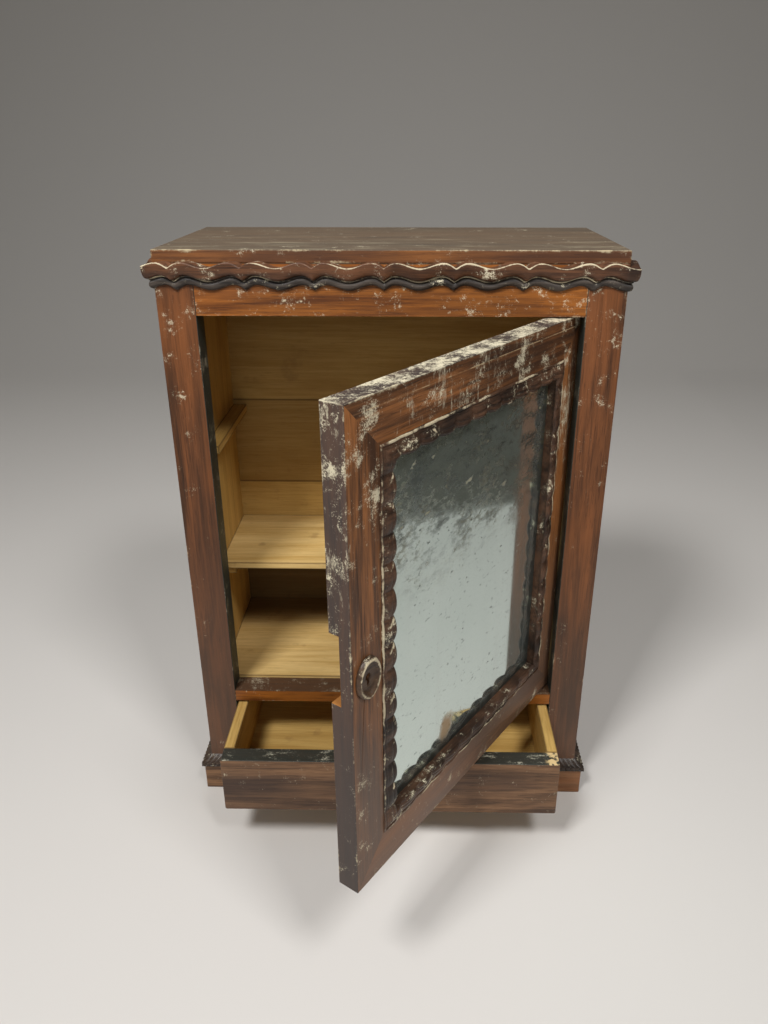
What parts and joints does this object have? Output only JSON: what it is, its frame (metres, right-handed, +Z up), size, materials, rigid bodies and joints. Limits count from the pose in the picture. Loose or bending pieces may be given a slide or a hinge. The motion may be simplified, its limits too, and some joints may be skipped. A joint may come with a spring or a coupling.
{
  "type": "medicine cabinet with mirror",
  "caption": "Small old wooden cabinet with a wavy moulded cornice, a mirror door on pin pivots, a shelf, and a drawer under the door.",
  "frame": {"origin": "middle of the underside of the base rail, at the front of the case, where it stands on the floor", "axes": "+Z up; -Y towards the front, where the door and drawer open; +X to the viewer's right, the hinge side"},
  "size_m": [0.419, 0.4507, 0.576],
  "materials": {
    "stained_wood": "worn dark stain, matt, with scuffs and pale flecks",
    "door_wood": "worn dark stain with heavy pale flecks and blackened edges",
    "drawer_wood": "worn dark stain, blackened top edge",
    "moulding_wood": "worn dark stain, pale rubbed crests",
    "dark_moulding": "nearly black polish with pale rubbed crests",
    "bare_wood": "bare honey-coloured softwood",
    "backing_wood": "bare softwood, aged",
    "mirror": "silvered glass with grey foxing",
    "iron": "dull old iron"
  },
  "bodies": {
    "case": {"side_left": "stained_wood", "side_right": "stained_wood", "stile_left": "stained_wood", "stile_right": "stained_wood", "top_rail": "stained_wood", "mid_rail": "stained_wood", "base_rail": "stained_wood", "top_board": "stained_wood", "back_lower": "bare_wood", "back_middle": "bare_wood", "back_upper": "bare_wood", "compartment_floor": "bare_wood", "case_bottom": "bare_wood", "shelf": "bare_wood", "shelf_bearer_left": "bare_wood", "shelf_bearer_right": "bare_wood", "upper_bearer_left": "bare_wood", "upper_bearer_right": "bare_wood", "drawer_guide_left": "bare_wood", "drawer_guide_right": "bare_wood", "wave_front": "moulding_wood", "wave_left": "moulding_wood", "wave_right": "moulding_wood", "bead_front": "dark_moulding", "bead_left": "dark_moulding", "bead_right": "dark_moulding", "plinth_front": "stained_wood", "plinth_left": "stained_wood", "plinth_right": "stained_wood", "rib_front": "dark_moulding", "rib_left": "dark_moulding", "rib_right": "dark_moulding", "back_nails": "iron", "pivot_plate_top": "iron", "pivot_plate_bottom": "iron"},
    "door": {"door_stile_free": "door_wood", "door_stile_hinge": "door_wood", "door_rail_top": "door_wood", "door_rail_bottom": "door_wood", "ripple_free": "dark_moulding", "ripple_hinge": "dark_moulding", "ripple_top": "dark_moulding", "ripple_bottom": "dark_moulding", "mirror_glass": "mirror", "backing_board": "backing_wood", "backing_nails": "iron", "escutcheon": "dark_moulding", "hinge_pin_top": "iron", "hinge_pin_bottom": "iron", "pivot_washer": "iron"},
    "drawer": {"drawer_front": "drawer_wood", "drawer_side_left": "bare_wood", "drawer_side_right": "bare_wood", "drawer_back": "bare_wood", "drawer_bottom": "bare_wood", "drawer_nails": "iron"}
  },
  "joints": [
    {"name": "door_hinge", "type": "hinge", "parent": "case", "child": "door", "pos_m": [0.1521, 0.0016, 0.3], "axis": [0, 0, 1], "range_deg": [-55.7, 42.3]},
    {"name": "drawer_slide", "type": "slide", "parent": "case", "child": "drawer", "axis": [0, -1, 0], "range_m": [-0.089, 0.061]}
  ]
}
